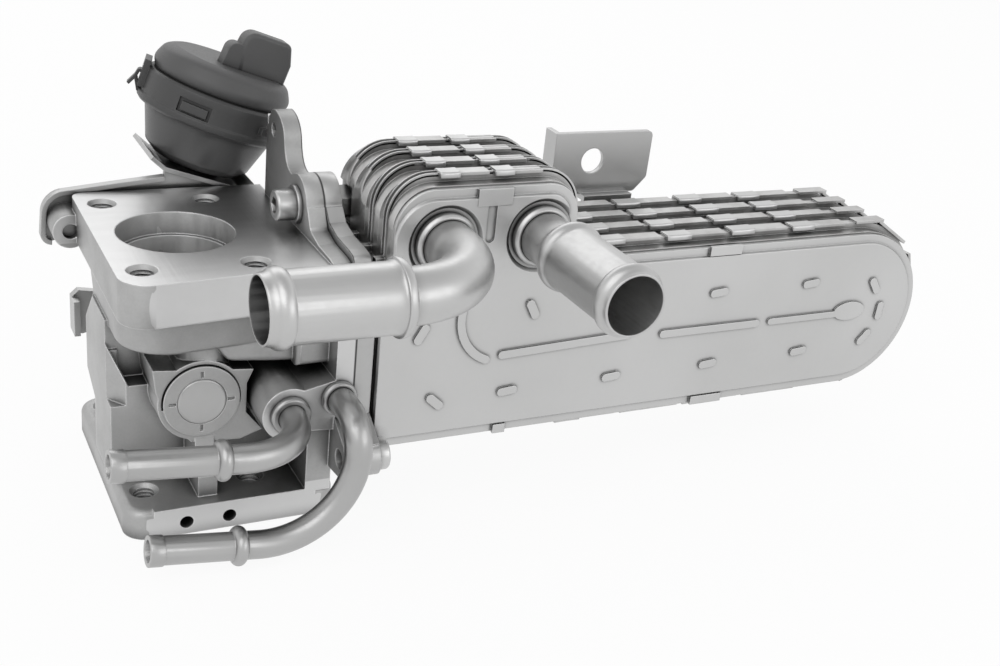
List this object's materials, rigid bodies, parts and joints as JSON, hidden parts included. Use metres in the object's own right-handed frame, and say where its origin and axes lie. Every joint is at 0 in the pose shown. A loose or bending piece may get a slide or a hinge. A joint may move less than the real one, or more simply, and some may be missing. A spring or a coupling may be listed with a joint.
{
  "type": "egr cooler",
  "caption": "Plate-type exhaust gas recirculation cooler with a cast bypass valve housing, coolant stubs and a leaning vacuum actuator that turns the flap by a rod and lever.",
  "frame": {"origin": "centre of the gas bore on the machined top face of the valve housing", "axes": "+X along the cooler core away from the housing, +Z out of the top gas face, -Y the side with the coolant stubs"},
  "size_m": [0.3071, 0.1829, 0.1321],
  "materials": {
    "cast_aluminium": "as cast, machined on its joint faces",
    "stainless": "satin, brazed",
    "pipe_steel": "smooth satin",
    "fastener_steel": "zinc plated",
    "bracket_steel": "pressed sheet, satin",
    "black_plastic": "matte moulded"
  },
  "bodies": {
    "housing": {"valve_housing": "cast_aluminium", "core_plug": "fastener_steel", "header_flange": "stainless", "core_plate_1": "stainless", "core_plate_2": "stainless", "core_plate_3": "stainless", "core_plate_4": "stainless", "braze_frame": "stainless", "rear_cover": "stainless", "front_cover": "stainless", "stub_collars": "pipe_steel", "straight_pipe": "pipe_steel", "elbow_pipe": "pipe_steel", "small_pipe_upper": "pipe_steel", "small_pipe_lower": "pipe_steel", "pipe_ferrules": "pipe_steel", "flange_screw": "fastener_steel", "flange_washer": "fastener_steel", "flange_nut": "fastener_steel", "flange_bush": "stainless", "rear_bracket": "bracket_steel", "actuator_can": "black_plastic", "actuator_ring": "black_plastic", "actuator_cap": "black_plastic", "actuator_connector": "black_plastic", "actuator_bracket": "bracket_steel", "bracket_screw": "fastener_steel"},
    "rod": {"actuator_rod": "fastener_steel"},
    "flap": {"flap_shaft": "fastener_steel", "bypass_flap": "stainless", "bypass_lever": "bracket_steel", "lever_pin": "fastener_steel"}
  },
  "joints": [
    {"name": "flap_turn", "type": "hinge", "parent": "housing", "child": "flap", "pos_m": [0, 0, -0.0422], "axis": [0, -1, 0], "range_deg": [0, 60], "stiffness_Nm_per_rad": 0.01, "springref_deg": -20.05},
    {"name": "rod_slide", "type": "slide", "parent": "housing", "child": "rod", "axis": [0.3173, 0, 0.9483], "range_m": [0, 0.009]}
  ],
  "couplings": [
    {"joint": "flap_turn", "follows": "rod_slide", "rad_per_m": 116.36}
  ]
}
